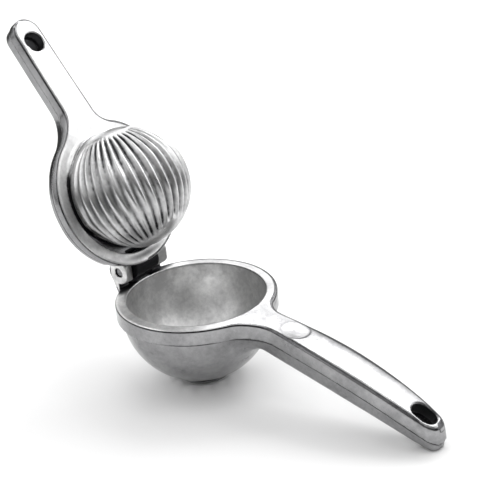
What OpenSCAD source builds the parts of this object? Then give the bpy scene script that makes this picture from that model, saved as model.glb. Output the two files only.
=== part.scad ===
// Hinged lemon squeezer: two cast levers on one steel pin, shown opened on its stop.
// +Z up, +X toward the tip of the bowl lever, origin on the bench under the bowl.

/* [Bowl] */
// Outside radius of the rim
rim_r = 40; // [34:0.5:48]
// Height of the flat rim band
band_h = 8.2; // [6.8:0.1:9.8]
// Draft of the band from its top edge to the parting line
band_draft = 0.5; // [0.2:0.1:1]
// Step from the band in to the bowl
band_step = 1.6; // [1:0.1:2.4]
// Depth of the bowl's centre below the rim
bowl_drop = 6.4; // [5:0.1:7.7]
// Thickness of the bowl wall
wall = 4.2; // [3.5:0.1:5]
// Radius of the turned foot
foot_r = 12; // [10:0.5:14.5]
// Height that the foot hides of the bowl
foot_sink = 0.6; // [0.4:0.05:1]
// Radius of a drain hole
drain_r = 1.7; // [1.4:0.1:2.1]

/* [Bowl lever handle] */
// Reach of the tip beyond the rim
grip_len = 99.6; // [83:0.2:120]
// Height of the tip's top above the bench
tip_h = 11.3; // [9.4:0.1:13.6]
// Where the top curve starts to fall
top_x = 12.5; // [8:0.5:20]
// Largest half width
grip_w = 10.2; // [8.5:0.1:12.3]
// Half width at the neck
neck_w = 8.5; // [7.1:0.1:10.2]
// Loss of half width from there to the tip
grip_taper = 4.05; // [3.4:0.05:4.9]
// Depth of the neck below its top
neck_depth = 16.4; // [13.6:0.1:19.7]
// Depth of the upper half of the casting
upper_depth = 8.2; // [6.8:0.1:9.8]
// Step between the upper and lower halves
parting_step = 0.35; // [0.2:0.05:0.6]
// Radius of the fillets between neck and rim
neck_fillet = 14; // [11.5:0.5:17]

/* [Press lever] */
// Step from the rim in to the flange
flange_in = 2.6; // [2:0.1:3.5]
// Thickness of the flange
flange_t = 9; // [7.5:0.1:10.8]
// Width of the flange's face outside the moat
land_w = 6.4; // [5:0.1:7.7]
// Depth of the moat round the dome
moat_depth = 4.6; // [3.8:0.1:5.6]
// Length of the handle past the flange
press_len = 62.5; // [52:0.5:75]
// Thickness of the handle
press_t = 11.4; // [9.5:0.1:13.7]
// Half width of the handle at the flange
press_w = 9.1; // [7.5:0.1:11]
// Half width of the handle at the tip
press_tip_w = 8.2; // [7:0.1:9]
// Rise of the handle from the plane of the flange, in degrees
press_rise = 12.5; // [10:0.5:15]

/* [Dome] */
// Room for the peel between the dome and the bowl
peel_gap = 4; // [3.6:0.1:5]
// Height of the dome's widest part above the flange face
dome_up = 8.4; // [7:0.1:10]
// Inset of the dome's foot from its widest part
dome_foot_in = 4.2; // [3.5:0.1:5]
// Distance from the flange's centre toward the hinge at which the deep moat ends
moat_end = 8; // [5:0.5:12]
// Depth of the moat beyond that, toward the handle
moat_shallow = 1; // [0.7:0.1:1.5]
// Least thickness of the dome round its hollow's mouth
mouth_wall = 8.6; // [7.2:0.1:10.3]
// Thickness of the dome's wall
dome_wall = 4.4; // [3.7:0.1:5.3]
// Number of grooves between the ribs
groove_n = 17; // [13:2:19]
// Angle from one groove to the next, in degrees
groove_pitch = 9.6; // [8:0.1:9.6]
// Width of a groove
groove_w = 2.2; // [1.8:0.1:2.6]
// Depth of a groove at mid length
groove_depth = 1.1; // [0.9:0.05:1.3]

/* [Hinge] */
// Distance of the hinge line inside the rim's edge
hinge_in = 3.6; // [3:0.1:4.3]
// Height of the knuckles' underside over the rim
hinge_lift = 2.5; // [2.1:0.1:3]
// Radius of the knuckles
knuckle_r = 6.3; // [5.3:0.05:7.5]
// Half length of the middle knuckle
mid_half = 8.3; // [7:0.1:9.9]
// Thickness of an outer knuckle
lug_t = 6.6; // [5.5:0.1:7.9]
// Gap between knuckles
side_gap = 0.4; // [0.3:0.05:0.6]
// Radius of the pin
pin_r = 2.2; // [1.8:0.05:2.65]
// Depth of the pin's ends below the knuckle faces
pin_recess = 1; // [0.5:0.1:2]
// Play of the pin in the middle knuckle
run_fit = 0.05; // [0.02:0.01:0.09]
// Play of the outer knuckles in their reliefs
relief_gap = 0.35; // [0.3:0.05:0.6]
// Opening angle on the stop, in degrees
open_angle = 115; // [105:1:118]
// Gap between flange and rim when shut, and twice the gap under the heel when open
seat_gap = 0.3; // [0.2:0.05:0.5]

/* [Hanging holes] */
// Half width of the hole in the bowl lever
hang_w = 4.6; // [3.8:0.1:4.8]
// Length of the hole in the bowl lever
hang_len = 12.4; // [10.4:0.2:14.8]
// Metal left between that hole and the tip
hang_edge = 3; // [2.5:0.1:4]
// Radius of the hole in the press lever
eye_r = 5.3; // [4.4:0.1:5.6]
// Distance of that hole's centre from the tip
eye_in = 13.6; // [11.4:0.1:16.3]
// Radius of the thumb rest on the neck
thumb_r = 7.2; // [6:0.1:7.6]
// Depth of the thumb rest
thumb_depth = 1; // [0.8:0.1:1.2]
// Distance of the thumb rest beyond the rim
thumb_out = 20.5; // [17:0.5:24.5]

/* [Hidden] */
fine = 180;
bowl_r = rim_r - band_step;
bowl_in = bowl_r - wall;
rim_in = bowl_in;
rim_h = bowl_drop + bowl_r - foot_sink;
bowl_z = rim_h - bowl_drop;
foot_h = bowl_z - sqrt(bowl_r * bowl_r - foot_r * foot_r) + 0.3;
// reach of the two rings of drain holes, as shares of the bowl's inside radius
ring_1 = 0.25;
ring_2 = 0.46;
tip_x = rim_r + grip_len;
thumb_x = rim_r + thumb_out;
// radius of the top curve seen from the side
top_fall = rim_h - tip_h;
top_r = ((tip_x - top_x) * (tip_x - top_x) + top_fall * top_fall) / (2 * top_fall);
top_cz = rim_h - top_r;
neck_end = rim_r + neck_fillet - 0.1;
function top_z(x) = top_cz + sqrt(top_r * top_r - (x - top_x) * (x - top_x));
grip_x = rim_r + 0.481 * grip_len;
// radius of the bulged sides seen from above
side_r = (tip_x - grip_x) * (tip_x - grip_x) / (2 * grip_taper);
// the underside is an arc from the neck to a short land on the bench at the tip
under_x0 = rim_r + 10;
under_z0 = top_z(under_x0) - neck_depth;
under_x1 = tip_x - 5.5;
under_z1 = -0.05;
under_len = norm([under_x1 - under_x0, under_z1 - under_z0]);
under_r = 1.5 * top_r;
under_mx = (under_x0 + under_x1) / 2;
under_mz = (under_z0 + under_z1) / 2;
under_h = sqrt(under_r * under_r - under_len * under_len / 4);
under_cx = under_mx + under_h * (under_z1 - under_z0) / under_len;
under_cz = under_mz - under_h * (under_x1 - under_x0) / under_len;
// fillets between rim and neck
fil_y = neck_w + neck_fillet;
fil_x = sqrt((rim_r + neck_fillet) * (rim_r + neck_fillet) - fil_y * fil_y);
fil_k = rim_r / (rim_r + neck_fillet);
// hinge line and the flange face as they stand with the tool shut
hinge_z = knuckle_r + hinge_lift;
hx = hinge_in - rim_r;
hz = rim_h + hinge_z;
flange_r = rim_r - flange_in;
land_r = flange_r - land_w;
face_z = rim_h + seat_gap;
back_z = face_z + flange_t;
half_w = mid_half + side_gap + lug_t;
lug_y = mid_half + side_gap;
pin_half = half_w - pin_recess;
hang_x = tip_x - hang_edge - hang_len / 2;
hang_slope = asin((hang_x - top_x) / top_r);
thumb_slope = asin((thumb_x - top_x) / top_r);
thumb_ball = thumb_r * thumb_r / (2 * thumb_depth) + thumb_depth / 2;
bend_x = 0.97 * flange_r;
eye_s = press_len - eye_in;
pfil_r = neck_fillet * 0.8;
pfil_y = press_w + pfil_r;
pfil_in = flange_r - 1.6;
pfil_x = sqrt((pfil_in + pfil_r) * (pfil_in + pfil_r) - pfil_y * pfil_y);
pfil_k = pfil_in / (pfil_in + pfil_r);
dome_r = bowl_in - peel_gap;
dome_foot_r = dome_r - dome_foot_in;
hollow_r = dome_r - mouth_wall;
dome_z = face_z - dome_up;
heel_r = hinge_z - seat_gap / 2;
relief_r = knuckle_r + relief_gap;
// the grooves' arc in degrees to each side, and how far below the dome's centre it is struck
groove_arc = 62;
groove_dip = 2.4;
groove_path = dome_r - groove_depth + groove_dip;

module along_y(half) {
    rotate([90, 0, 0]) linear_extrude(2 * half, center = true) children();
}

// plan of the bowl lever's neck and grip, drawn in by inset
module grip_plan(inset = 0) {
    intersection() {
        translate([grip_x, side_r - grip_w + inset]) circle(r = side_r, $fn = 360);
        translate([grip_x, -side_r + grip_w - inset]) circle(r = side_r, $fn = 360);
        translate([rim_in - 8, -20]) square([tip_x - rim_in + 8 - 3.2 - inset, 40]);
    }
    intersection() {
        translate([tip_x - 14 - inset, 0]) circle(r = 14, $fn = fine);
        translate([grip_x, side_r - grip_w + inset]) circle(r = side_r, $fn = 360);
        translate([grip_x, -side_r + grip_w - inset]) circle(r = side_r, $fn = 360);
    }
    difference() {
        polygon([
            [rim_in - 4, 0], [fil_x * fil_k, fil_y * fil_k], [fil_x, neck_w - inset],
            [fil_x, -neck_w + inset], [fil_x * fil_k, -fil_y * fil_k]
        ]);
        for (s = [-1, 1]) translate([fil_x, s * fil_y]) circle(r = neck_fillet + inset, $fn = fine);
    }
}

// side view of the neck and grip, from depth a below the top down to the underside
module grip_side(a = 0) {
    difference() {
        intersection() {
            translate([top_x, top_cz]) circle(r = top_r - a, $fn = 720);
            translate([neck_end, 0]) square([tip_x - neck_end + 1, rim_h]);
        }
        translate([under_cx, under_cz]) circle(r = under_r, $fn = 720);
    }
    difference() {
        polygon([
            [rim_in - 6, rim_h - a], [rim_in - 0.5, rim_h - a], [neck_end + 0.01, top_z(neck_end) - a],
            [neck_end + 0.01, 0], [rim_in - 6, 0]
        ]);
        translate([under_cx, under_cz]) circle(r = under_r, $fn = 720);
    }
}

module rim_ring() {
    rotate_extrude($fn = fine) polygon([
        [rim_in - 2, rim_h - band_h - 4], [rim_in - 2, rim_h], [rim_r - 0.5, rim_h],
        [rim_r, rim_h - 0.5], [rim_r - band_draft, rim_h - band_h], [bowl_r - 2, rim_h - band_h - 4]
    ]);
}

// turned foot that the bowl stands on
module foot() {
    cylinder(r1 = foot_r - 0.4, r2 = foot_r, h = 0.4, $fn = fine);
    translate([0, 0, 0.39]) cylinder(r1 = foot_r, r2 = foot_r + 0.6, h = foot_h, $fn = fine);
}

module outer_knuckle(s) {
    translate([0, s * (lug_y + lug_t / 2), 0]) along_y(lug_t / 2) {
        translate([hx, hz]) circle(r = knuckle_r, $fn = 96);
        polygon([
            [hx - knuckle_r * 0.98, hz - 1], [hx - 0.3, hz - 1], [hx - 0.3, rim_h - 2],
            [-sqrt(rim_r * rim_r - half_w * half_w) + 1.5, rim_h - 2],
            [-sqrt(rim_r * rim_r - half_w * half_w) + 1.5, rim_h - band_h],
            [hx - knuckle_r * 0.42, rim_h - band_h]
        ]);
    }
}

module bowl_lever() color([0.78, 0.78, 0.79]) {
    difference() {
        union() {
            intersection() {
                translate([0, 0, bowl_z]) sphere(r = bowl_r, $fn = fine);
                translate([-60, -60, 0]) cube([120, 120, rim_h - band_h + 0.6]);
            }
            rim_ring();
            foot();
            intersection() {
                linear_extrude(rim_h) grip_plan();
                along_y(30) difference() {
                    grip_side(0);
                    grip_side(upper_depth);
                }
            }
            intersection() {
                linear_extrude(rim_h) grip_plan(parting_step);
                along_y(30) grip_side(upper_depth - 0.2);
            }
            outer_knuckle(-1);
            outer_knuckle(1);
        }
        // turned so that the ball's pole falls in a drain hole
        translate([0, 0, bowl_z]) rotate([0, -asin(ring_1), 0]) sphere(r = bowl_in, $fn = fine);
        translate([0, 0, bowl_z]) cylinder(r = bowl_in, h = 60, $fn = fine);
        translate([0, 0, rim_h - 0.5]) cylinder(r1 = bowl_in, r2 = bowl_in + 1, h = 1, $fn = fine);
        for (a = [0 : 60 : 300]) rotate([0, 0, a]) translate([bowl_in * ring_1, 0, -1])
            cylinder(r = drain_r, h = 20, $fn = 32);
        for (a = [15 : 30 : 345]) rotate([0, 0, a]) translate([bowl_in * ring_2, 0, -1])
            cylinder(r = drain_r, h = 24, $fn = 32);
        translate([hx, 0, hz]) rotate([90, 0, 0]) cylinder(r = pin_r, h = 80, center = true, $fn = 64);
        translate([hang_x, 0, top_z(hang_x)]) rotate([0, hang_slope, 0]) hang_tool();
        translate([thumb_x, 0, top_z(thumb_x)]) rotate([0, thumb_slope, 0])
            translate([0, 0, thumb_ball - thumb_depth]) rotate([90, 0, 0]) sphere(r = thumb_ball, $fn = 240);
    }
}

module hang_tool() {
    linear_extrude(60, center = true) {
        for (s = [-1, 1]) translate([s * (hang_len / 2 - hang_w), 0]) circle(r = hang_w, $fn = 96);
        square([hang_len - 2 * hang_w, 2 * hang_w], center = true);
    }
}

// plan of the press lever's handle, measured from the bend along its own length
module press_plan() {
    polygon([
        [-12, -press_w], [press_len - press_tip_w, -press_tip_w],
        [press_len - press_tip_w, press_tip_w], [-12, press_w]
    ]);
    translate([press_len - press_tip_w, 0]) circle(r = press_tip_w, $fn = 128);
}

module press_fillets() {
    difference() {
        polygon([
            [rim_in - 8, 0], [pfil_x * pfil_k, pfil_y * pfil_k], [pfil_x, press_w],
            [pfil_x, -press_w], [pfil_x * pfil_k, -pfil_y * pfil_k]
        ]);
        for (s = [-1, 1]) translate([pfil_x, s * pfil_y]) circle(r = pfil_r, $fn = fine);
    }
}

module flange_body() {
    translate([0, 0, face_z]) rotate_extrude($fn = fine) difference() {
        polygon([
            [0, 0.5], [flange_r - 0.9, 0], [flange_r - 0.4, 0.4], [flange_r, flange_t / 2],
            [flange_r - parting_step, flange_t / 2], [flange_r - 0.8, flange_t - 0.5],
            [flange_r - 1.3, flange_t], [0, flange_t]
        ]);
        translate([0, -1]) square([land_r, moat_depth + 1]);
    }
}

module dome_body() {
    difference() {
        union() {
            intersection() {
                translate([0, 0, dome_z]) sphere(r = dome_r, $fn = fine);
                translate([0, 0, dome_z - 60]) cylinder(r = 60, h = 60, $fn = 8);
            }
            translate([0, 0, dome_z]) cylinder(r1 = dome_r, r2 = dome_foot_r, h = dome_up + moat_depth, $fn = fine);
            translate([0, 0, face_z + moat_depth - 0.5]) cylinder(r = dome_foot_r, h = 1, $fn = fine);
        }
        for (i = [-(groove_n - 1) / 2 : (groove_n - 1) / 2])
            translate([0, 0, dome_z]) rotate([i * groove_pitch, 0, 0]) groove();
    }
}

// upright skirt of the dome and the shallow part of the moat, on the handle's side
module skirt() {
    intersection() {
        union() {
            translate([0, 0, dome_z]) cylinder(r = dome_r, h = dome_up + moat_shallow + 1, $fn = fine);
            translate([0, 0, face_z + moat_shallow]) cylinder(r = land_r + 0.4, h = moat_depth, $fn = fine);
        }
        translate([-moat_end, -50, dome_z]) cube([100, 100, 40]);
    }
}

// one groove: an arc over the dome, in the plane y = 0, that runs out of the surface at both ends
module groove() {
    translate([0, 0, groove_dip]) rotate([90, 0, 0]) rotate([0, 0, -90 - groove_arc])
        rotate_extrude(angle = 2 * groove_arc, $fn = 144)
            translate([groove_path, -groove_w / 2]) square([4, groove_w]);
}

module bore() {
    translate([hx, 0, hz]) rotate([90, 0, 0]) rotate([0, 0, 37])
        cylinder(r = pin_r + run_fit, h = 80, center = true, $fn = 64);
}

module middle_knuckle() {
    difference() {
        union() {
            along_y(mid_half) translate([hx, hz]) circle(r = knuckle_r, $fn = 96);
            along_y(mid_half) polygon([
                [hx, hz - knuckle_r + 0.4], [-flange_r + 6, face_z + 0.4], [-flange_r + 8, face_z + 2],
                [-flange_r + 8, back_z - 0.3], [hx + 2, hz + knuckle_r - 0.3], [hx - 0.7, hz + 0.5]
            ]);
            heel();
        }
        bore();
    }
}

// lands on the rim when the tool is fully open
module heel() {
    translate([hx, 0, hz]) rotate([0, open_angle, 0]) along_y(mid_half) polygon([
        [0.9, -1], [0.9, -heel_r], [-3.1, -heel_r], [-knuckle_r * 0.93, -knuckle_r * 0.36]
    ]);
}

module eye() {
    translate([bend_x, 0, face_z]) rotate([0, -press_rise, 0]) translate([eye_s, 0, -5])
        cylinder(r = eye_r, h = press_t + 10, $fn = 96);
}

module lug_relief() {
    for (s = [-1, 1]) translate([0, s * (mid_half + (lug_t + 8) / 2), 0]) along_y((lug_t + 8) / 2) {
        translate([hx, hz]) circle(r = relief_r, $fn = 96);
        translate([hx - 20, hz - relief_r]) square([20, 30]);
    }
}

module press_arm() {
    intersection() {
        translate([0, 0, face_z]) linear_extrude(flange_t) press_fillets();
        along_y(40) polygon([
            [land_r + 1, face_z], [bend_x, face_z], [pfil_x + 3, face_z + (pfil_x + 3 - bend_x) * tan(press_rise)],
            [pfil_x + 3, back_z + 6], [land_r + 1, back_z]
        ]);
    }
    translate([bend_x, 0, face_z]) rotate([0, -press_rise, 0]) intersection() {
        linear_extrude(press_t) press_plan();
        along_y(30) polygon([
            [0, 0], [press_len + 1, 0], [press_len + 1, press_t], [9, press_t],
            [-6, flange_t - 2], [-6, 2]
        ]);
    }
}

module press_shut() {
    difference() {
        union() {
            difference() {
                flange_body();
                lug_relief();
                bore();
            }
            dome_body();
            skirt();
            press_arm();
        }
        translate([0, 0, dome_z]) cylinder(r = hollow_r, h = 60, $fn = fine);
        intersection() {
            translate([0, 0, dome_z]) rotate([90, 0, 0]) sphere(r = dome_r - dome_wall, $fn = fine);
            translate([0, 0, dome_z - 60]) cylinder(r = hollow_r, h = 61, $fn = fine);
        }
        eye();
    }
    middle_knuckle();
}

module press_lever() color([0.8, 0.8, 0.81])
    translate([hx, 0, hz]) rotate([0, -open_angle, 0]) translate([-hx, 0, -hz]) press_shut();

module hinge_pin() color([0.6, 0.61, 0.63])
    translate([hx, 0, hz]) rotate([90, 0, 0]) cylinder(r = pin_r, h = 2 * pin_half, center = true, $fn = 64);

bowl_lever();
press_lever();
hinge_pin();
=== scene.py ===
"""Hinged lemon squeezer: the looks of two cast aluminium levers and their steel pin."""

import logging
import math
from collections.abc import Callable, Sequence
from dataclasses import dataclass, field
from enum import Enum

import bpy
import numpy as np
from mathutils import Matrix, Vector

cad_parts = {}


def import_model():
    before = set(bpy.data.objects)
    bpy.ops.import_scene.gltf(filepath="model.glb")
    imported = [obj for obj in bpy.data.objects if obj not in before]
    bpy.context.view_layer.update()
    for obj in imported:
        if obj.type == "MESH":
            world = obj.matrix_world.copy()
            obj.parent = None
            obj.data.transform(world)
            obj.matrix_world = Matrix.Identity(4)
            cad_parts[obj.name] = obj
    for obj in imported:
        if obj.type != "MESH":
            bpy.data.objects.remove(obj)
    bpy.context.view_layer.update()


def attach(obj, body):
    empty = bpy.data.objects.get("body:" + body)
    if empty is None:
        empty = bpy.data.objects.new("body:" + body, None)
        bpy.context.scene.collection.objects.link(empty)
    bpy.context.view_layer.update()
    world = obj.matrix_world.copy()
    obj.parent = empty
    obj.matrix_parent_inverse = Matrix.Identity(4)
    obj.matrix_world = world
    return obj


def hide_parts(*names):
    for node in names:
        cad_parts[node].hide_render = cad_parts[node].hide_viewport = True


LOG = logging.getLogger("squeezer")
MM = 0.001
HASH_AXES = (374761393, 668265263, 2147483647)
HASH_SEED, HASH_MIX, HASH_MASK = 974634777, 1274126177, 0xFFFFFFFF
Array = np.ndarray
Form = Callable[[Array, Array, Array], Array]
Colour = Point = tuple[float, float, float]
Span = tuple[float, float]
Socket = bpy.types.NodeSocket


# Shapes as signed distances, in millimetres: negative inside the metal


def join(a: Array, b: Array, r: float | Array) -> Array:
    """Distance to shapes a and b together, with a fillet of radius r between them."""
    return np.maximum(r, np.minimum(a, b)) - np.hypot(np.maximum(r - a, 0), np.maximum(r - b, 0))


def meet(a: Array, b: Array, r: float | Array) -> Array:
    """Distance to what shapes a and b share, its edge rounded to radius r."""
    return -join(-a, -b, r)


def cut(a: Array, b: Array, r: float | Array) -> Array:
    """Distance to what tool b leaves of metal a, the lip rounded to radius r."""
    return -join(-a, b, r)


def bevel(a: Array, b: Array, width: float | Array, r: float) -> Array:
    """Distance to what a and b share, its edge cut off at that width, with arrises of radius r."""
    flat = (a + b + width) * math.sqrt(0.5)
    return meet(meet(a, flat, r), meet(b, flat, r), r * 0.5)


def ease(low: float, high: float, v: Array) -> Array:
    """Smooth step over the values v, from 0 at low to 1 at high."""
    t = np.clip((v - low) / (high - low), 0.0, 1.0)
    return t * t * (3.0 - 2.0 * t)


def polygon(corners: list[tuple[float, float]], u: Array, v: Array) -> Array:
    """Convex polygon, its corners listed counter-clockwise.

    Args:
        corners: Corner points (u, v).
        u: First coordinate of the points asked about.
        v: Second coordinate of the points asked about.

    Returns:
        Distance to the polygon's sides.
    """
    result = np.full_like(u, -1e9)
    for (u0, v0), (u1, v1) in zip(corners, corners[1:] + corners[:1]):
        length = math.hypot(u1 - u0, v1 - v0)
        result = np.maximum(result, ((v1 - v0) * (u - u0) - (u1 - u0) * (v - v0)) / length)
    return result


def ripple(x: Array, y: Array, z: Array, size: float, seed: int) -> Array:
    """Smooth random hills from -1 to 1 that repeat on every run.

    Args:
        x: First coordinate.
        y: Second coordinate.
        z: Third coordinate.
        size: Distance from one hill to the next.
        seed: Number that picks the pattern.

    Returns:
        Height at each point.
    """
    cell = [np.floor(c / size).astype(np.int64) for c in (x, y, z)]
    part = [c / size - n for c, n in zip((x, y, z), cell)]
    part = [t * t * (3.0 - 2.0 * t) for t in part]
    total = np.zeros_like(x)
    for corner in range(8):
        step = [(corner >> k) & 1 for k in range(3)]
        key = sum((n + s) * prime for n, s, prime in zip(cell, step, HASH_AXES))
        key = (key + seed * HASH_SEED) & HASH_MASK
        key = ((key ^ (key >> 13)) * HASH_MIX) & HASH_MASK
        value = ((key ^ (key >> 16)) & 0xFFFF) / 32767.5 - 1.0
        weight = np.ones_like(x)
        for t, s in zip(part, step):
            weight = weight * (t if s else 1.0 - t)
        total = total + value * weight
    return total


# From a signed distance to a mesh


@dataclass
class Casting:
    """A solid given by its signed distance, and the quad mesh laid over it.

    Attributes:
        form: Distance function in millimetres.
        low: Lowest corner of the room it is looked for in.
        high: Highest corner of that room.
        step: Edge of a mesh quad.
        block: Lattice cells along the edge of a block that is worked out or left out as one.
        batch: Number of blocks worked out together.
        points: The mesh's points, one to a row, once it is built.
        quads: Point numbers of its faces, one face to a row.
    """

    form: Form
    low: Point
    high: Point
    step: float
    block: int = 8
    batch: int = 400
    points: Array = field(init=False)
    quads: Array = field(init=False)

    def build(self, rounds: int = 3) -> None:
        """Finds the surface and spreads the mesh evenly over it.

        Args:
            rounds: How often the points are spread and pulled back to the surface.
        """
        self._net(self._sample())
        self._settle(2)
        for _ in range(rounds):
            self._spread()
            self._settle(1)
        self._settle(2)

    def slope(self, reach: float = 0.08) -> Array:
        """Gradient of the distance at every point.

        Args:
            reach: Half the distance it is measured over.

        Returns:
            One vector for each point.
        """
        parts = []
        for axis in range(3):
            shift = np.zeros(3)
            shift[axis] = reach
            parts.append(self._at(self.points + shift) - self._at(self.points - shift))
        return np.stack(parts, axis=1) / (2 * reach)

    def normals(self) -> Array:
        """Outward direction of length 1 at every point."""
        slope = self.slope()
        return slope / np.maximum(np.linalg.norm(slope, axis=1, keepdims=True), 1e-6)

    def hollow(self, reach: float) -> Array:
        """How far the surface is sunk between its surroundings: above 0 in a crease.

        Args:
            reach: Half the distance it is measured over.

        Returns:
            One number for each point.
        """
        total = -6 * self._at(self.points)
        for axis in range(3):
            shift = np.zeros(3)
            shift[axis] = reach
            total = total + self._at(self.points + shift) + self._at(self.points - shift)
        return -total / reach

    def shelter(self, normal: Array, reaches: tuple[float, ...]) -> Array:
        """How far the surface is shut in by what faces it.

        Args:
            normal: Outward direction of every point.
            reaches: Distances at which the room in front is looked at.

        Returns:
            One number for each point: 0 in the open, near 1 in a narrow hole.
        """
        total = np.zeros(len(self.points))
        for reach in reaches:
            total += 1 - self._at(self.points + normal * reach) / reach
        return np.clip(total / len(reaches), 0, 1)

    def _at(self, p: Array) -> Array:
        """Distance at each row of p."""
        return self.form(p[:, 0], p[:, 1], p[:, 2])

    @staticmethod
    def _cells(count: Array) -> Array:
        """Numbers of all cells of a block, one cell to a row."""
        return np.stack(np.meshgrid(*[np.arange(c) for c in count], indexing="ij"), -1).reshape(-1, 3)

    def _sample(self) -> Array:
        """Distance on a lattice, worked out only near the surface.

        Returns:
            The lattice's values, in 3 dimensions.
        """
        low, high = np.array(self.low), np.array(self.high)
        n, edge = self.block, self.block * self.step
        count = np.ceil((high - low) / edge).astype(int)
        lattice = np.ones(count * n + 1, np.float32)
        index = self._cells(count)
        middle = self._at(low + (index + 0.5) * edge)
        for i, j, k in index[middle < 0] * n:
            lattice[i : i + n + 1, j : j + n + 1, k : k + n + 1] = -1
        near = index[np.abs(middle) < edge * 1.1 + self.step] * n
        inner = self._cells(np.full(3, n + 1))
        for start in range(0, len(near), self.batch):
            some = near[start : start + self.batch]
            values = self._at(low + (some[:, None] + inner[None]).reshape(-1, 3) * self.step)
            for (i, j, k), block in zip(some, values.reshape(len(some), n + 1, n + 1, n + 1)):
                lattice[i : i + n + 1, j : j + n + 1, k : k + n + 1] = block
        return lattice

    def _net(self, values: Array) -> None:
        """Lays one point in every lattice cell that the surface crosses, and joins them by quads.

        Args:
            values: The lattice's distances.
        """
        inside = values < 0
        cells = tuple(n - 1 for n in values.shape)
        corners = [(a, b, c) for a in (0, 1) for b in (0, 1) for c in (0, 1)]
        filled = np.zeros(cells, np.int8)
        for a, b, c in corners:
            filled += inside[a : a + cells[0], b : b + cells[1], c : c + cells[2]]
        where = np.argwhere((filled > 0) & (filled < 8))
        number = np.full(cells, -1, np.int32)
        number[tuple(where.T)] = np.arange(len(where))
        at_corner = {c: values[tuple((where + c).T)] for c in corners}
        total = np.zeros((len(where), 3))
        hits = np.zeros(len(where))
        for axis in range(3):
            for start in (c for c in corners if c[axis] == 0):
                end = tuple(v + (k == axis) for k, v in enumerate(start))
                f0, f1 = at_corner[start], at_corner[end]
                crossed = (f0 < 0) != (f1 < 0)
                share = np.where(crossed, f0 / np.where(crossed, f0 - f1, 1), 0)
                point = np.array(start, float) + share[:, None] * np.eye(3)[axis]
                total += point * crossed[:, None]
                hits += crossed
        self.points = np.array(self.low) + (where + total / hits[:, None]) * self.step
        quads = []
        for axis in range(3):
            u, v = (axis + 1) % 3, (axis + 2) % 3
            lower = np.take(inside, range(cells[axis]), axis)
            upper = np.take(inside, range(1, cells[axis] + 1), axis)
            edge = np.argwhere(lower != upper)
            across, limit = edge[:, [u, v]], [cells[u], cells[v]]
            edge = edge[((across > 0) & (across < limit)).all(1)]
            leaving = lower[tuple(edge.T)]
            ring = []
            for du, dv in ((1, 1), (0, 1), (0, 0), (1, 0)):
                cell = edge.copy()
                cell[:, u] -= du
                cell[:, v] -= dv
                ring.append(number[tuple(cell.T)])
            ring = np.stack(ring, 1)
            quads.append(np.where(leaving[:, None], ring, ring[:, ::-1]))
        self.quads = np.concatenate(quads)

    def _settle(self, times: int) -> None:
        """Pulls every point onto the surface.

        Args:
            times: Number of steps taken.
        """
        for _ in range(times):
            slope = self.slope()
            length2 = np.maximum((slope**2).sum(1), 0.2)
            move = slope * (self._at(self.points) / length2)[:, None]
            size = np.linalg.norm(move, axis=1, keepdims=True)
            self.points -= move * np.minimum(1, 0.5 * self.step / np.maximum(size, 1e-9))

    def _spread(self) -> None:
        """Moves every point toward the middle of its neighbours, along the surface."""
        around = np.zeros_like(self.points)
        for shift in (1, -1):
            other = np.roll(self.quads, shift, axis=1)
            for axis in range(3):
                around[:, axis] += np.bincount(
                    self.quads.ravel(), self.points[other.ravel(), axis], len(self.points)
                )
        count = 2 * np.bincount(self.quads.ravel(), minlength=len(self.points))
        move = around / np.maximum(count, 1)[:, None] - self.points
        normal = self.normals()
        self.points += 0.6 * (move - normal * (move * normal).sum(1, keepdims=True))


def add_object(name: str, data: bpy.types.ID) -> bpy.types.Object:
    """Makes an object of a mesh, light or camera and links it to the scene.

    Args:
        name: Name of the object.
        data: What it shows.

    Returns:
        The object.
    """
    made = bpy.data.objects.new(name, data)
    bpy.context.collection.objects.link(made)
    return made


def mesh_object(
    name: str, points: Array, faces: Array, marks: dict[str, Array]
) -> bpy.types.Object:
    """Makes a smooth mesh object.

    Args:
        name: Name of the object.
        points: Corner points in metres.
        faces: Rows of point numbers, all of one length.
        marks: Numbers kept on the points for the finish, by name.

    Returns:
        The object, linked to the scene.
    """
    mesh = bpy.data.meshes.new(name)
    sides = faces.shape[1]
    mesh.vertices.add(len(points))
    mesh.vertices.foreach_set("co", points.astype(np.float32).ravel())
    mesh.loops.add(faces.size)
    mesh.loops.foreach_set("vertex_index", faces.astype(np.int32).ravel())
    mesh.polygons.add(len(faces))
    mesh.polygons.foreach_set("loop_start", np.arange(0, faces.size, sides, dtype=np.int32))
    mesh.update(calc_edges=True)
    mesh.polygons.foreach_set("use_smooth", np.ones(len(faces), bool))
    for key, values in marks.items():
        mesh.attributes.new(key, "FLOAT", "POINT").data.foreach_set("value", values.astype(np.float32))
    mesh.validate()
    return add_object(name, mesh)


# Finishes


class Tone(Enum):
    """Greys of the bare metals, as shares of the light they throw back."""

    CAST_DARK = (0.27, 0.27, 0.275)
    CAST_LIGHT = (0.42, 0.42, 0.425)
    BRIGHT_DARK = (0.36, 0.36, 0.365)
    BRIGHT_LIGHT = (0.52, 0.52, 0.525)
    # Worn edges; also the painted highlight on convex edges.
    WORN_HIGHLIGHT = (0.74, 0.74, 0.74)
    # Dark lines of painted shade.
    SHADE_LINE = (0.06, 0.06, 0.063)
    # Painted shade on upright sides.
    SIDE_SHADE = (0.15, 0.15, 0.155)
    # Rubbed metal; also painted light.
    SATIN_SHEEN_DARK = (0.64, 0.64, 0.64)
    SATIN_SHEEN_LIGHT = (0.96, 0.96, 0.95)
    # Oxide in hollows; also painted shade in creases and shut-in places.
    OXIDE_AND_SHADE = (0.018, 0.018, 0.02)
    STEEL_DARK = (0.2, 0.2, 0.205)
    STEEL = (0.34, 0.34, 0.345)


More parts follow.
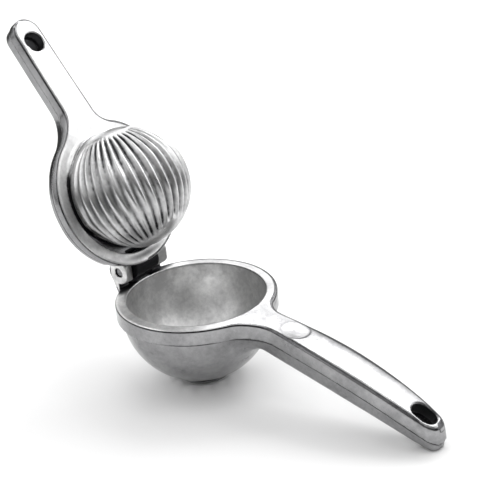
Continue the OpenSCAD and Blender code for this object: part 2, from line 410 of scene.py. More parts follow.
class MetalNodes:
    """A bare metal's node tree, and short ways to add nodes to it.

    Attributes:
        material: The material.
        tree: Its node tree.
        shader: Its surface shader.
        place: Node that gives places on the object.
    """

    def __init__(self, name: str) -> None:
        """Starts the material.

        Args:
            name: Name of the material.
        """
        self.material = bpy.data.materials.new(name)
        self.material.use_nodes = True
        self.tree = self.material.node_tree
        self.shader = self.tree.nodes["Principled BSDF"]
        self.shader.inputs["Metallic"].default_value = 1.0
        self.place = self.tree.nodes.new("ShaderNodeTexCoord")

    def put(self, value: Socket | Colour | float, slot: Socket) -> None:
        """Links a socket to a slot, or sets a colour or a number on it.

        Args:
            value: The socket, colour or number.
            slot: Where it goes.
        """
        if isinstance(value, Socket):
            self.tree.links.new(value, slot)
        else:
            slot.default_value = (*value, 1.0) if isinstance(value, tuple) else value

    def mark(self, name: str) -> Socket:
        """Reads a mark kept on the mesh.

        Args:
            name: Name of the mark.

        Returns:
            Its value.
        """
        node = self.tree.nodes.new("ShaderNodeAttribute")
        node.attribute_name = name
        return node.outputs["Fac"]

    def sum(self, operation: str, *values: Socket | float) -> Socket:
        """Works out a sum on up to three values, kept between 0 and 1.

        Args:
            operation: Name of the sum.
            values: The values.

        Returns:
            The result.
        """
        node = self.tree.nodes.new("ShaderNodeMath")
        node.operation = operation
        node.use_clamp = True
        for slot, value in zip(node.inputs, values):
            self.put(value, slot)
        return node.outputs[0]

    def stretch(self, value: Socket, source: Span, target: Span) -> Socket:
        """Maps one range onto another.

        Args:
            value: The value.
            source: Range it comes in.
            target: Range it leaves in.

        Returns:
            The result.
        """
        node = self.tree.nodes.new("ShaderNodeMapRange")
        for name, number in zip(("From Min", "From Max", "To Min", "To Max"), source + target):
            node.inputs[name].default_value = number
        self.put(value, node.inputs["Value"])
        return node.outputs["Result"]

    def noise(self, scale: float, detail: float, rough: float) -> Socket:
        """Adds soft noise that is fixed to the object.

        Args:
            scale: Number of cells for each metre.
            detail: Number of octaves.
            rough: Weight of the finer octaves.

        Returns:
            The noise's value.
        """
        node = self.tree.nodes.new("ShaderNodeTexNoise")
        for name, number in zip(("Scale", "Detail", "Roughness"), (scale, detail, rough)):
            node.inputs[name].default_value = number
        self.put(self.place.outputs["Object"], node.inputs["Vector"])
        return node.outputs["Fac"]

    def ramp(self, value: Socket, span: Span, dark: Tone, light: Tone) -> Socket:
        """Turns a value into a grey between two.

        Args:
            value: The value.
            span: Values at which the darker and the lighter grey are reached.
            dark: The darker grey.
            light: The lighter grey.

        Returns:
            The colour.
        """
        node = self.tree.nodes.new("ShaderNodeValToRGB")
        for element, place, tone in zip(node.color_ramp.elements, span, (dark, light)):
            element.position = place
            element.color = (*tone.value, 1.0)
        self.put(value, node.inputs["Fac"])
        return node.outputs["Color"]

    def mix(self, share: Socket, first: Socket, second: Socket | Colour) -> Socket:
        """Mixes two colours.

        Args:
            share: Share of the second colour.
            first: The first colour.
            second: The second colour.

        Returns:
            The mixed colour.
        """
        node = self.tree.nodes.new("ShaderNodeMix")
        node.data_type = "RGBA"
        for name, value in zip(("Factor", "A", "B"), (share, first, second)):
            self.put(value, node.inputs[name])
        return node.outputs["Result"]


@dataclass(frozen=True)
class CastAluminium:
    """Tumbled and softly polished aluminium casting.

    Attributes:
        name: Name of the material.
        dark: Grey of the duller clouds.
        light: Grey of the brighter clouds.
        polish: Roughness where the metal is dullest, and where it is most polished.
        dulled: Roughness added in grooves and where the metal is rubbed.
        skin: Share of painted shade laid on the upright sides.
        sides: Middle and half height of the sides that get it, under the face, in millimetres.
        bevel_shade_line: Middle and half width of the painted shade line under the face's edge.
        seam: Depth of the parting line under the face.
        seam_half: Half width of the dark line along it: grime on the flash, and on the bowl painted shadow
            under the band.
        far_shade_line: Middle and half width of the painted shade line inside the face's far edge.
        cloud: Number of duller clouds for each metre.
        cloud_share: Weight of the clouds against the blotches.
        mottle: Number of blotches for each metre.
        grain: Number of casting grains for each metre.
        relief: Height of that grain in metres.
    """

    name: str
    dark: Tone = Tone.CAST_DARK
    light: Tone = Tone.CAST_LIGHT
    polish: Span = (0.28, 0.18)
    dulled: float = 0.3
    skin: float = 0.12
    sides: Span = (12.0, 11.0)
    bevel_shade_line: Span = (0.85, 0.42)
    seam: float = 8.2
    seam_half: float = 0.3
    far_shade_line: Span = (1.15, 0.6)
    cloud: float = 75.0
    cloud_share: float = 0.6
    mottle: float = 420.0
    grain: float = 1500.0
    relief: float = 0.000007

    def make(self) -> bpy.types.Material:
        """Builds the node tree.

        Returns:
            The material.
        """
        nodes = MetalNodes(self.name)
        slots = nodes.shader.inputs
        groove, rub_and_painted_light = nodes.mark("groove"), nodes.mark("rub_and_painted_light")
        mottle = nodes.noise(self.mottle, 5.0, 0.65)
        blend = nodes.sum("MULTIPLY_ADD", nodes.noise(self.cloud, 4.0, 0.6), self.cloud_share, 0.0)
        blend = nodes.sum("MULTIPLY_ADD", mottle, 1.0 - self.cloud_share, blend)
        upright = nodes.sum("COMPARE", nodes.mark("depth"), *self.sides)
        tint = nodes.ramp(blend, (0.37, 0.63), self.dark, self.light)
        for share, colour in (
            # Painted shade: the upright sides are darkened.
            (nodes.sum("MULTIPLY", upright, self.skin), Tone.SIDE_SHADE.value),
            # Worn edges, lightened further as painted highlight.
            (nodes.mark("edge"), Tone.WORN_HIGHLIGHT.value),
            # Rubbed metal, lightened further as painted light.
            (rub_and_painted_light, nodes.ramp(blend, (0.4, 0.62), Tone.SATIN_SHEEN_DARK, Tone.SATIN_SHEEN_LIGHT)),
            # Dark lines of painted shade, with grime along the parting line.
            (self._shade_lines(nodes, mottle), Tone.SHADE_LINE.value),
            # Oxide in hollows, darkened further as painted shade.
            (groove, Tone.OXIDE_AND_SHADE.value),
        ):
            tint = nodes.mix(share, tint, colour)
        nodes.put(tint, slots["Base Color"])
        rough = nodes.stretch(blend, (0.36, 0.64), self.polish)
        for share in (groove, rub_and_painted_light):
            rough = nodes.sum("MULTIPLY_ADD", share, self.dulled, rough)
        nodes.put(rough, slots["Roughness"])
        bump = nodes.tree.nodes.new("ShaderNodeBump")
        bump.inputs["Strength"].default_value = 1.0
        bump.inputs["Distance"].default_value = self.relief
        nodes.put(nodes.noise(self.grain, 3.0, 0.6), bump.inputs["Height"])
        nodes.put(bump.outputs["Normal"], slots["Normal"])
        return nodes.material

    def _shade_lines(self, nodes: MetalNodes, uneven: Socket) -> Socket:
        """Adds dark lines: painted shade along the edges of the face, and grime on the flash with painted
        shadow under the band along the parting line.

        Args:
            nodes: Nodes they are added to.
            uneven: Value that wears them away here and there.

        Returns:
            Their strength.
        """
        depth = nodes.mark("depth")
        bevel_shade_line = nodes.sum("COMPARE", depth, *self.bevel_shade_line)
        seam_grime_and_shadow = nodes.sum("COMPARE", depth, self.seam + self.seam_half, self.seam_half)
        near = nodes.sum("MAXIMUM", bevel_shade_line, seam_grime_and_shadow)
        near = nodes.sum("MULTIPLY", near, nodes.mark("outer"))
        far = nodes.sum("COMPARE", nodes.mark("inset"), *self.far_shade_line)
        worn = nodes.stretch(uneven, (0.3, 0.6), (0.7, 1.0))
        return nodes.sum("MULTIPLY", nodes.sum("MAXIMUM", near, far), worn)


@dataclass(frozen=True)
class GroundSteel:
    """Steel pin stock, ground round.

    Attributes:
        name: Name of the material.
        cloud: Number of duller clouds for each metre.
        rough: Roughness.
    """

    name: str = "ground_steel"
    cloud: float = 900.0
    rough: float = 0.32

    def make(self) -> bpy.types.Material:
        """Builds the node tree.

        Returns:
            The material.
        """
        nodes = MetalNodes(self.name)
        tint = nodes.ramp(nodes.noise(self.cloud, 3.0, 0.6), (0.3, 0.7), Tone.STEEL_DARK, Tone.STEEL)
        nodes.put(tint, nodes.shader.inputs["Base Color"])
        nodes.shader.inputs["Roughness"].default_value = self.rough
        return nodes.material


# The two levers and the pin


@dataclass
class Hinge:
    """Places and sizes of the hinge, in millimetres.

    Attributes:
        x: Place of the pin along the levers.
        z: Its height above the bench.
        knuckle_r: Radius of the knuckles.
        mid_half: Half the width of the middle knuckle.
        side_gap: Gap on each side of it.
        lug_t: Width of an outer knuckle.
        pin_r: Radius of the pin.
        recess: Depth of the pin's ends in the outer knuckles.
        open_deg: Angle at which the tool stands open, in degrees.
    """

    x: float = -36.4
    z: float = 53.0
    knuckle_r: float = 6.3
    mid_half: float = 8.3
    side_gap: float = 0.4
    lug_t: float = 6.6
    pin_r: float = 2.2
    recess: float = 1.0
    open_deg: float = 115.0

    @property
    def half_width(self) -> float:
        """Half the width over the outer knuckles."""
        return self.mid_half + self.side_gap + self.lug_t

    def off_axis(self, x: Array, z: Array) -> Array:
        """Distance from the pin's axis."""
        return np.hypot(x - self.x, z - self.z)


@dataclass
class Lever:
    """What both levers have in common. Lengths are in millimetres.

    Attributes:
        hinge: The hinge that they turn on.
        fillet: Radius where the handle joins the round part, on its near side.
        far_fillet: The same radius on its far side.
        dark_from: Place along the lever from which its hole is the only shut-in part.
        room_low: Lowest corner of the room that the casting lies in.
        room_high: Highest corner of that room.
        mesh_step: Edge of a mesh quad.
    """

    hinge: Hinge
    fillet: float
    far_fillet: float
    dark_from: float
    room_low: Point
    room_high: Point
    mesh_step: float

    def form(self, x: Array, y: Array, z: Array) -> Array:
        """Signed distance of the whole casting.

        Args:
            x: Places along the lever.
            y: Places across it.
            z: Heights, with the tool shut.

        Returns:
            Distances in millimetres.
        """
        raise NotImplementedError

    def marks(self, x: Array, y: Array, z: Array) -> dict[str, Array]:
        """Marks that the finish reads at each point of the surface.

        Args:
            x: Places along the lever.
            y: Places across it.
            z: Heights, with the tool shut.

        Returns:
            By name: depth under the face and inset from its far edge in millimetres, outer (1 on
            the side that carries the painted shade lines), rub_and_painted_light (rubbed light by use, and
            painted light) and groove (old skin left on, and painted shade).
        """
        raise NotImplementedError

    def cast(self, name: str, finish: bpy.types.Material, move: Matrix = Matrix()) -> bpy.types.Object:
        """Meshes the casting and makes it an object with its marks and its finish.

        Args:
            name: Name of the object.
            finish: Its material.
            move: Matrix that its points are moved by.

        Returns:
            The object.
        """
        skin = Casting(self.form, self.room_low, self.room_high, self.mesh_step)
        skin.build()
        x, y, z = skin.points.T
        marks = self.marks(x, y, z)
        normal = skin.normals()
        # Painted shade: creases, narrow gaps and the shut-in room at the hinge and in the long hole are
        # darkened toward oxide; partly oxide left in the hollows, partly shade where light is shut out.
        hollow = ease(0.3, 1.5, skin.hollow(0.9))
        close = ease(0.15, 0.7, skin.shelter(normal, (1.2, 2.4)))
        where = np.maximum(1 - ease(-34.5, -30, x), ease(self.dark_from, self.dark_from + 4, x))
        deep = 0.95 * where * ease(0.12, 0.6, skin.shelter(normal, (6.0, 9.0)))
        groove = np.clip(np.maximum(np.maximum(hollow, close), np.maximum(deep, marks["groove"])), 0, 1)
        # Convex edges are lightened: wear, and painted highlight.
        edge = ease(0.45, 1.4, -hollow) * (1 - groove)
        fine, broad = ripple(x, y, z, size=4.5, seed=7), ripple(x, y, z, size=11.0, seed=9)
        uneven = 0.035 * fine + 0.05 * broad - 0.1
        points = (skin.points + normal * uneven[:, None]) * MM
        points = points @ np.array(move.to_3x3()).T + np.array(move.translation)
        marks |= {"groove": groove, "edge": 0.7 * edge, "rub_and_painted_light": marks["rub_and_painted_light"] * (1 - groove)}
        made = mesh_object(name, points, skin.quads, marks)
        made.data.materials.append(finish)
        LOG.info("%s: %d points, %d faces", name, len(points), len(skin.quads))
        return made


@dataclass
class BowlLever(Lever):
    """Bowl, rim band, outer knuckles and the long bowed handle, in one casting.

    Places are measured from the bowl's axis and heights from the bench, in millimetres.

    Attributes:
        rim_r: Outside radius of the rim band.
        rim_h: Height of the rim.
        bowl_r: Outside radius of the bowl.
        bowl_z: Height of the bowl's middle.
        bowl_in: Inside radius of the bowl.
        bowl_less: How far the bowl stands back under the band.
        foot_r: Radius of the foot ring.
        foot_h: Height of the foot ring.
        tip_x: Place of the handle's tip.
        top_r: Radius of the long arc that the handle's top follows.
        top_x: Place of that arc's highest point.
        neck_end: Place where the straight neck runs into the arc.
        grip_w: Half the greatest width of the handle.
        grip_x: Place of its greatest width.
        side_r: Radius of its bulging sides.
        nose_r: Radius of its end.
        root_t: Its thickness at the root.
        upper: Height of the upper half, down to the parting line.
        draw_in: How far the walls of that half draw in toward the face.
        flare: How much further they do so at the tip.
        crown_far: Fall of the face toward its far edge.
        crown_near: Fall of the face toward its near edge.
        crown_w: Half width over which it falls.
        drain_r: Radius of a drain hole.
        drain_rings: Each ring's number of holes, share of the bowl's radius, and turn in degrees.
        hang_w: Half the width of the hanging hole.
        hang_len: Length of the hanging hole.
        hang_edge: Metal left between it and the tip.
        thumb_x: Place of the thumb dish.
        thumb_r: Radius of the thumb dish.
        thumb_depth: Depth of the thumb dish.
    """
    rim_r: float = 40.0
    rim_h: float = 44.2
    bowl_r: float = 38.4
    bowl_z: float = 37.8
    bowl_in: float = 34.2
    bowl_less: float = 0.9
    foot_r: float = 12.0
    foot_h: float = 1.6
    tip_x: float = 139.6
    top_r: float = 262.0
    top_x: float = 12.5
    neck_end: float = 53.9
    grip_w: float = 10.2
    grip_x: float = 87.9
    side_r: float = 330.0
    nose_r: float = 14.0
    root_t: float = 16.4
    upper: float = 8.2
    draw_in: float = 0.95
    flare: float = 0.35
    crown_far: float = 1.6
    crown_near: float = 0.4
    crown_w: float = 9.8
    drain_r: float = 1.7
    drain_rings: tuple[Point, ...] = ((6, 0.25, 0.0), (12, 0.46, 15.0))
    hang_w: float = 4.6
    hang_len: float = 12.4
    hang_edge: float = 3.0
    thumb_x: float = 60.5
    thumb_r: float = 7.2
    thumb_depth: float = 0.9
    fillet: float = 14.0
    far_fillet: float = 8.0
    dark_from: float = 118.0
    room_low: Point = (-45.0, -42.0, -2.0)
    room_high: Point = (142.0, 42.0, 62.0)
    mesh_step: float = 0.645

    def arc(self, x: Array | float) -> Array | float:
        """Height of the long arc that the handle's top follows."""
        return self.rim_h - self.top_r + np.sqrt(self.top_r**2 - (x - self.top_x) ** 2)

    def fall(self, x: float) -> float:
        """Angle at which that arc falls, in radians."""
        return math.asin((x - self.top_x) / self.top_r)

    def handle(self, x: Array) -> Array:
        """0 on the bowl, 1 on the handle."""
        return ease(36, 66, x)

    def tip(self, x: Array) -> Array:
        """0 on the lever, 1 at its tip."""
        return ease(self.tip_x - 13, self.tip_x - 5, x)

    def top_line(self, x: Array) -> Array:
        """Height of the top along the lever.

        Args:
            x: Places along the lever.

        Returns:
            Heights.
        """
        start = self.bowl_in - 0.5
        drop = self.arc(self.neck_end) - self.rim_h
        line = self.rim_h + drop * (x - start) / (self.neck_end - start)
        bow = self.arc(np.clip(x, self.neck_end, self.tip_x + 20))
        gap = self.rim_h - np.where(x > self.neck_end, bow, line)
        return self.rim_h - np.where(gap > 0.6, gap, np.where(gap < -0.6, 0, (gap + 0.6) ** 2 / 2.4))

    def under_line(self, x: Array) -> Array:
        """Height of the handle's underside.

        Args:
            x: Places along the lever.

        Returns:
            Heights.
        """
        x0, x1 = self.rim_r + 10.0, self.tip_x - 5.5
        z0, z1 = self.arc(x0) - self.root_t, -0.05
        length = math.hypot(x1 - x0, z1 - z0)
        r = 1.5 * self.top_r
        h = math.sqrt(r * r - length * length / 4)
        cx = (x0 + x1) / 2 + h * (z1 - z0) / length
        cz = (z0 + z1) / 2 - h * (x1 - x0) / length
        return cz + np.sqrt(np.maximum(r * r - (x - cx) ** 2, 1.0))

    def grip(self, x: Array, y: Array) -> Array:
        """Distance to the handle's outline, seen from above.

        Args:
            x: Places along the lever.
            y: Places across it, all above 0.

        Returns:
            Distances in millimetres.
        """
        bulge = np.hypot(x - self.grip_x, y + self.side_r - self.grip_w) - self.side_r
        past = x - self.tip_x + self.nose_r
        nose = np.where(past > 0, np.hypot(past, y), y) - self.nose_r
        return np.maximum(meet(bulge, nose, 4.0), 20 - x)

    def upper_wall(self, x: Array, y: Array, z: Array) -> Array:
        """Distance to the wall round the upper half, which draws in toward the face.

        Args:
            x: Places along the lever.
            y: Places across it.
            z: Heights.

        Returns:
            Distances in millimetres.
        """
        fillet = np.where(y > 0, self.far_fillet, self.fillet)
        plan = join(np.hypot(x, y) - self.rim_r, self.grip(x, np.abs(y)), fillet)
        rise = np.clip(1 - (self.top_line(x) - z) / self.upper, 0, 1)
        return plan + self.draw_in * self.handle(x) * rise**2.6 + self.flare * self.tip(x) * rise

    def form(self, x: Array, y: Array, z: Array) -> Array:
        """Signed distance of the bowl lever.

        Args:
            x: Places along the lever.
            y: Places across it.
            z: Heights.

        Returns:
            Distances in millimetres.
        """
        side = np.sign(y)
        outer = self.upper_wall(x, y, z)
        y = np.abs(y)
        r = np.hypot(x, y)
        top = self.top_line(x)
        part = top - self.upper + 0.16 * ripple(x, y * side, x * 0, size=9.0, seed=3)
        lean = np.clip(1 - 0.0006 * np.maximum(x - self.top_x, 0), 0.9, 1.0)
        along = self.handle(x)

        # Upper half: drawn-in walls under a bevelled and crowned face.
        crown = along * np.where(side > 0, self.crown_far, self.crown_near)
        crown = crown * np.clip(y / self.crown_w, 0, 1) ** 2
        body = bevel(outer, (z - top + crown) * lean, 0.6 + 0.25 * along, 0.34)
        body = meet(body, part - z, 0.2)

        # Lower half: bowl and handle, stepped in under the parting line, with the foot ring.
        step = 0.5 + 0.12 * ripple(x, y * side, x * 0, size=14.0, seed=5) + self.flare * self.tip(x)
        share = np.clip((part - z) / 8.0, 0, 1)
        under = (self.under_line(x) - z) * 0.94
        belly = meet(self.grip(x, y) + step + 0.9 * share, under, 2.4)
        ball = np.sqrt(x * x + y * y + (z - self.bowl_z) ** 2) - self.bowl_r + self.bowl_less
        low = join(ball, belly, 17 - 8 * ease(0, 1, share))
        low = np.maximum(low, z - part - 0.4)
        low = join(low, meet(r - self.foot_r - 0.35, z - self.foot_h, 0.3), 0.5)
        body = join(body, low, 0.15)
        body = meet(body, -z, 0.35)
        body = join(body, self._lugs(x, y, z), 0.45)

        # What is cut out: the bowl, its drain holes, the pin's bore, the long hole and the dish.
        cavity = np.where(z > self.bowl_z, r, np.sqrt(r * r + (z - self.bowl_z) ** 2)) - self.bowl_in
        body = cut(body, cavity, 0.55)
        for count, reach, turn in self.drain_rings:
            pitch, middle = 2 * math.pi / count, self.bowl_in * reach
            angle = np.arctan2(y, x) - math.radians(turn)
            angle = np.round(angle / pitch) * pitch + math.radians(turn)
            hole = np.hypot(x - middle * np.cos(angle), y - middle * np.sin(angle)) - self.drain_r
            body = cut(body, np.maximum(hole, z - 20), 0.4)
        body = cut(body, self.hinge.off_axis(x, z) - self.hinge.pin_r, 0.25)
        body = cut(body, self._hanging_hole(x, y, z, part), 1.5)
        return cut(body, self._thumb_rest(x, y, z), 0.2)

    def _lugs(self, x: Array, y: Array, z: Array) -> Array:
        """Outer knuckles with their webs down to the band.

        Args:
            x: Places along the lever.
            y: Places across it, all above 0.
            z: Heights.

        Returns:
            Distances in millimetres.
        """
        h = self.hinge
        root = 0.5 - math.sqrt(self.rim_r**2 - h.half_width**2)
        web = [
            (h.x - h.knuckle_r * 0.8, h.z - 3.8),
            (root, self.rim_h - self.upper),
            (root, self.rim_h - 1),
            (h.x - 0.9, h.z - 1),
        ]
        lug = join(h.off_axis(x, z) - h.knuckle_r, polygon(web, x, z), 0.8)
        centre = h.mid_half + h.side_gap + h.lug_t / 2
        return meet(lug, np.abs(y - centre) - h.lug_t / 2, 0.5)

    def _hanging_hole(self, x: Array, y: Array, z: Array, part: Array) -> Array:
        """Long hole near the tip, a little narrower below the parting line.

        Args:
            x: Places along the lever.
            y: Places across it.
            z: Heights.
            part: Height of the parting line.

        Returns:
            Distances in millimetres.
        """
        centre = self.tip_x - self.hang_edge - self.hang_len / 2
        slope = self.fall(centre)
        u = (x - centre) * math.cos(slope) - (z - self.arc(centre)) * math.sin(slope)
        flat = np.maximum(np.abs(u) - self.hang_len / 2 + self.hang_w, 0)
        return np.hypot(flat, y) - self.hang_w + 0.35 * ease(-0.15, 0.15, part - z)

    def _thumb_rest(self, x: Array, y: Array, z: Array) -> Array:
        """Shallow round dish on the neck.

        Args:
            x: Places along the lever.
            y: Places across it.
            z: Heights.

        Returns:
            Distances in millimetres.
        """
        slope = self.fall(self.thumb_x)
        ball = self.thumb_r**2 / (2 * self.thumb_depth) + self.thumb_depth / 2
        lift = ball - self.thumb_depth
        cx = self.thumb_x + lift * math.sin(slope)
        cz = self.arc(self.thumb_x) + lift * math.cos(slope)
        return np.sqrt((x - cx) ** 2 + y * y + (z - cz) ** 2) - ball

    def marks(self, x: Array, y: Array, z: Array) -> dict[str, Array]:
        """Marks of the bowl lever: rim and inside rubbed by use and lit by painted light, painted shade on
        the dish, the knuckles and the far face.

        Args:
            x: Places along the lever.
            y: Places across it.
            z: Heights.

        Returns:
            The marks by name.
        """
        h = self.hinge
        r = np.hypot(x, y)
        below = self.rim_h - z
        depth = self.top_line(x) - z
        outside = np.where(x < 40, r > self.bowl_in + 2, np.abs(y) > self.hang_w + 1.5)
        outside = outside | (x > self.tip_x - 2)
        lug = (x < h.x + 9) & (np.abs(y) < h.mid_half + h.lug_t + 1.2)
        # On the bowl the depth is stretched under the band, so the parting line's dark line also paints
        # the shadow under the band's overhang.
        sunk = 0.55 * np.maximum(depth - self.upper, 0) * (1 - ease(38, 55, x))
        level = (1 - ease(-1.0, -0.5, depth)) + ease(2.4, 3.4, depth)
        inset = 3 * level + 3 * (1 - ease(-3, 0, y)) - self.upper_wall(x, y, z)

        # Painted light: the bowl's inside is lightened, partly rubbed by use, and the rim's top more at
        # its front left than at its back.
        inside = ease(-0.6, 0.4, self.bowl_in - np.hypot(r, np.minimum(z - self.bowl_z, 0)))
        inside = inside * ease(0.3, 1.5, below) * ease(2.0, 4.0, z)
        flat = 0.85 - 0.55 * ease(-25, 5, 0.75 * x + 0.66 * y)
        flat = flat * (1 - ease(30, 62, x)) * (1 - ease(0.1, 0.5, below))

        # Painted shade: on the lug barrels, as a crescent round the dish's rim, darkest toward the tip,
        # and on the far side of the handle's face.
        lug_shade = 0.2 * (h.off_axis(x, z) < h.knuckle_r + 0.6) * (np.abs(y) < h.half_width - 0.5)
        ring = np.hypot(x - self.thumb_x, y)
        dish = ease(self.thumb_r - 1.3, self.thumb_r - 0.3, ring)
        dish = dish * (1 - ease(self.thumb_r, self.thumb_r + 0.5, ring)) * (depth < 5)
        dish = dish * (0.3 + 0.6 * ease(-0.2, 0.9, (x - self.thumb_x) / np.maximum(ring, 0.1)))
        far_face_shade = 0.65 * ease(0.5, 9.5, y) * ease(52, 70, x) * (depth < 2.6)
        return {
            "depth": depth - sunk,
            "outer": 1.0 * (outside & ~lug),
            "inset": inset,
            "rub_and_painted_light": np.maximum(inside, flat),
            "groove": np.maximum(np.maximum(lug_shade, dish), far_face_shade),
        }

    def build(self, finish: bpy.types.Material) -> None:
        """Builds the casting and sets it in place of its CAD node.

        Args:
            finish: Material of the casting.
        """
        made = self.cast("bowl_lever_casting", finish)
        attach(made, "bowl_half")
        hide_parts("bowl_lever")


@dataclass
class PressLever(Lever):
    """Ribbed dome, flange, middle knuckle and the short handle, in one casting.

    It is shaped as it lies when the tool is shut, then swung open about the hinge.

    Attributes:
        face_z: Height of the flange's face.
        flange_r: Radius of the flange.
        flange_t: Thickness of the flange.
        land_r: Inside radius of the raised land.
        moat: Depth of the moat inside the land.
        length: Length of the handle from its bend.
        thick: Thickness of the handle.
        root_w: Half the handle's width at its bend.
        tip_w: Half its width at the tip.
        rise_deg: Angle at which it rises from the bend, in degrees.
        dome_r: Radius of the dome.
        dome_up: Distance from the face to the dome's middle.
        foot_r: Radius of the dome's foot in the moat.
        dome_wall: Thickness of the dome's wall.
        hollow_r: Radius of the hollow behind the dome.
        grooves: Number of flutes.
        pitch_deg: Angle from one flute to the next, in degrees.
        groove_depth: Depth of a flute.
        eye_r: Radius of the eye.
        eye_in: Distance from the tip to the eye's middle.
        heel_r: Reach of the stop heel from the pin's axis.
        play: Gap between the pin and its bore.
        room_round: Gap round the outer knuckles.
    """
    face_z: float = 44.5
    flange_r: float = 37.4
    flange_t: float = 9.0
    land_r: float = 31.0
    moat: float = 4.6
    length: float = 62.5
    thick: float = 11.4
    root_w: float = 9.1
    tip_w: float = 8.2
    rise_deg: float = 12.5
    dome_r: float = 30.2
    dome_up: float = 8.4
    foot_r: float = 26.0
    dome_wall: float = 4.4
    hollow_r: float = 21.6
    grooves: int = 21
    pitch_deg: float = 9.6
    groove_depth: float = 1.25
    eye_r: float = 5.3
    eye_in: float = 13.6
    heel_r: float = 8.65
    play: float = 0.05
    room_round: float = 0.35
    fillet: float = 11.2
    far_fillet: float = 5.5
    dark_from: float = 74.0
    room_low: Point = (-46.0, -39.0, 3.0)
    room_high: Point = (100.0, 39.0, 74.0)
    mesh_step: float = 0.59

    @property
    def bend(self) -> float:
        """Place at which the handle bends up."""
        return 0.97 * self.flange_r

    @property
    def rise(self) -> float:
        """Angle at which it rises, in radians."""
        return math.radians(self.rise_deg)

    def face_line(self, x: Array) -> Array:
        """Height of the face above the flange's plane, along the lever.

        Args:
            x: Places along the lever.

        Returns:
            Heights.
        """
        ramp = x - self.bend
        ramp = np.where(ramp > 5, ramp, np.where(ramp < -5, 0, (ramp + 5) ** 2 / 20))
        return ramp * math.tan(self.rise)

    def bent(self, x: Array, w: Array) -> tuple[Array, Array, Array]:
        """Places measured along the bent handle.

        Args:
            x: Places along the lever.
            w: Heights above the flange's face.

        Returns:
            Distance from the bend, height above the handle's face, and place along the whole lever.
        """
        along, up = math.cos(self.rise), math.sin(self.rise)
        u = (x - self.bend) * along + w * up
        v = w * along - (x - self.bend) * up
        return u, v, x + ease(self.bend - 8, self.bend + 10, x) * (self.bend + u - x)

    def plan(self, x: Array, y: Array, w: Array) -> Array:
        """Distance to the outline, seen from above.

        Args:
            x: Places along the lever.
            y: Places across it.
            w: Heights above the flange's face.

        Returns:
            Distances in millimetres.
        """
        u, _, away = self.bent(x, w)
        half = self.root_w + (self.tip_w - self.root_w) * np.clip(u / (self.length - self.tip_w), 0, 1)
        over = np.maximum(away - self.bend - self.length + self.tip_w, 0)
        handle = np.maximum(np.hypot(over, y) - half, 20 - away)
        fillet = np.where(y > 0, self.far_fillet, self.fillet)
        return join(np.hypot(x, y) - self.flange_r, handle, fillet)

    def form(self, x: Array, y: Array, z: Array) -> Array:
        """Signed distance of the press lever.

        Args:
            x: Places along the lever.
            y: Places across it.
            z: Heights, with the tool shut.

        Returns:
            Distances in millimetres.
        """
        h = self.hinge
        side = y
        y = np.abs(y)
        r = np.hypot(x, y)
        w = z - self.face_z
        bend = self.bend
        u, v, _ = self.bent(x, w)
        plan = self.plan(x, side, w)

        floor = self.face_line(x)
        lift = (self.thick / math.cos(self.rise) - self.flange_t) * ease(bend - 9, bend + 7, x)
        roof = floor + self.flange_t + lift
        lean = 1 - (1 - math.cos(self.rise)) * ease(bend - 8, bend + 10, x)

        # The two halves, the back one stepped in behind the parting line.
        part = floor + (roof - floor) * 0.5 + 0.15 * ripple(x, side, x * 0, size=8.0, seed=11)
        width = 0.6 + 0.2 * ease(bend - 4, bend + 14, x)
        near = np.clip(1 - (w - floor) / np.maximum(part - floor, 1), 0, 1)
        face = bevel(plan + 0.3 * near**2, (floor - w) * lean, width, 0.3)
        face = meet(face, (w - part) * lean, 0.2)
        step = 0.5 + 0.12 * ripple(x, side, x * 0, size=12.0, seed=17)
        back = meet(plan + step + 0.1 * np.clip(w - part, 0, 6), (w - roof) * lean, 1.3)
        back = np.maximum(back, (part - 0.4 - w) * lean)
        body = join(face, back, 0.15)

        # Moat round the dome, shallow toward the handle, then the dome and its hollow.
        upright = ease(-20, -6, x)
        depth = (self.moat - (self.moat - 0.9) * upright) * (1 - ease(16, 24, x)) - ease(16, 24, x)
        trough = 0.5 * (self.land_r - self.foot_r + 6)
        gutter = meet(np.abs(r - self.land_r + trough) - trough, w - depth, 0.7)
        body = cut(body, gutter, 0.4)
        body = join(body, self._dome(x, side, w, upright), 0.5 + 2.2 * ease(10, 26, x))
        body = cut(body, self._hollow(r, w), 1.2)

        # Room for the outer knuckles, the middle knuckle, the pin's bore and the eye.
        relief = h.off_axis(x, z) - h.knuckle_r - self.room_round
        under = h.z - h.knuckle_r - self.room_round - z
        relief = np.minimum(relief, np.maximum(x - h.x, under))
        body = cut(body, np.maximum(relief, h.mid_half - y), 0.2)
        body = join(body, self._knuckle(x, y, z), 0.3)
        body = cut(body, h.off_axis(x, z) - h.pin_r - self.play, 0.2)
        eye = np.hypot(u - self.length + self.eye_in, y) - self.eye_r
        eye = eye + 0.15 + 0.75 * ease(-0.15, 0.15, v - self.thick * 0.5)
        return cut(body, np.maximum(eye, 60 - x), 0.75)

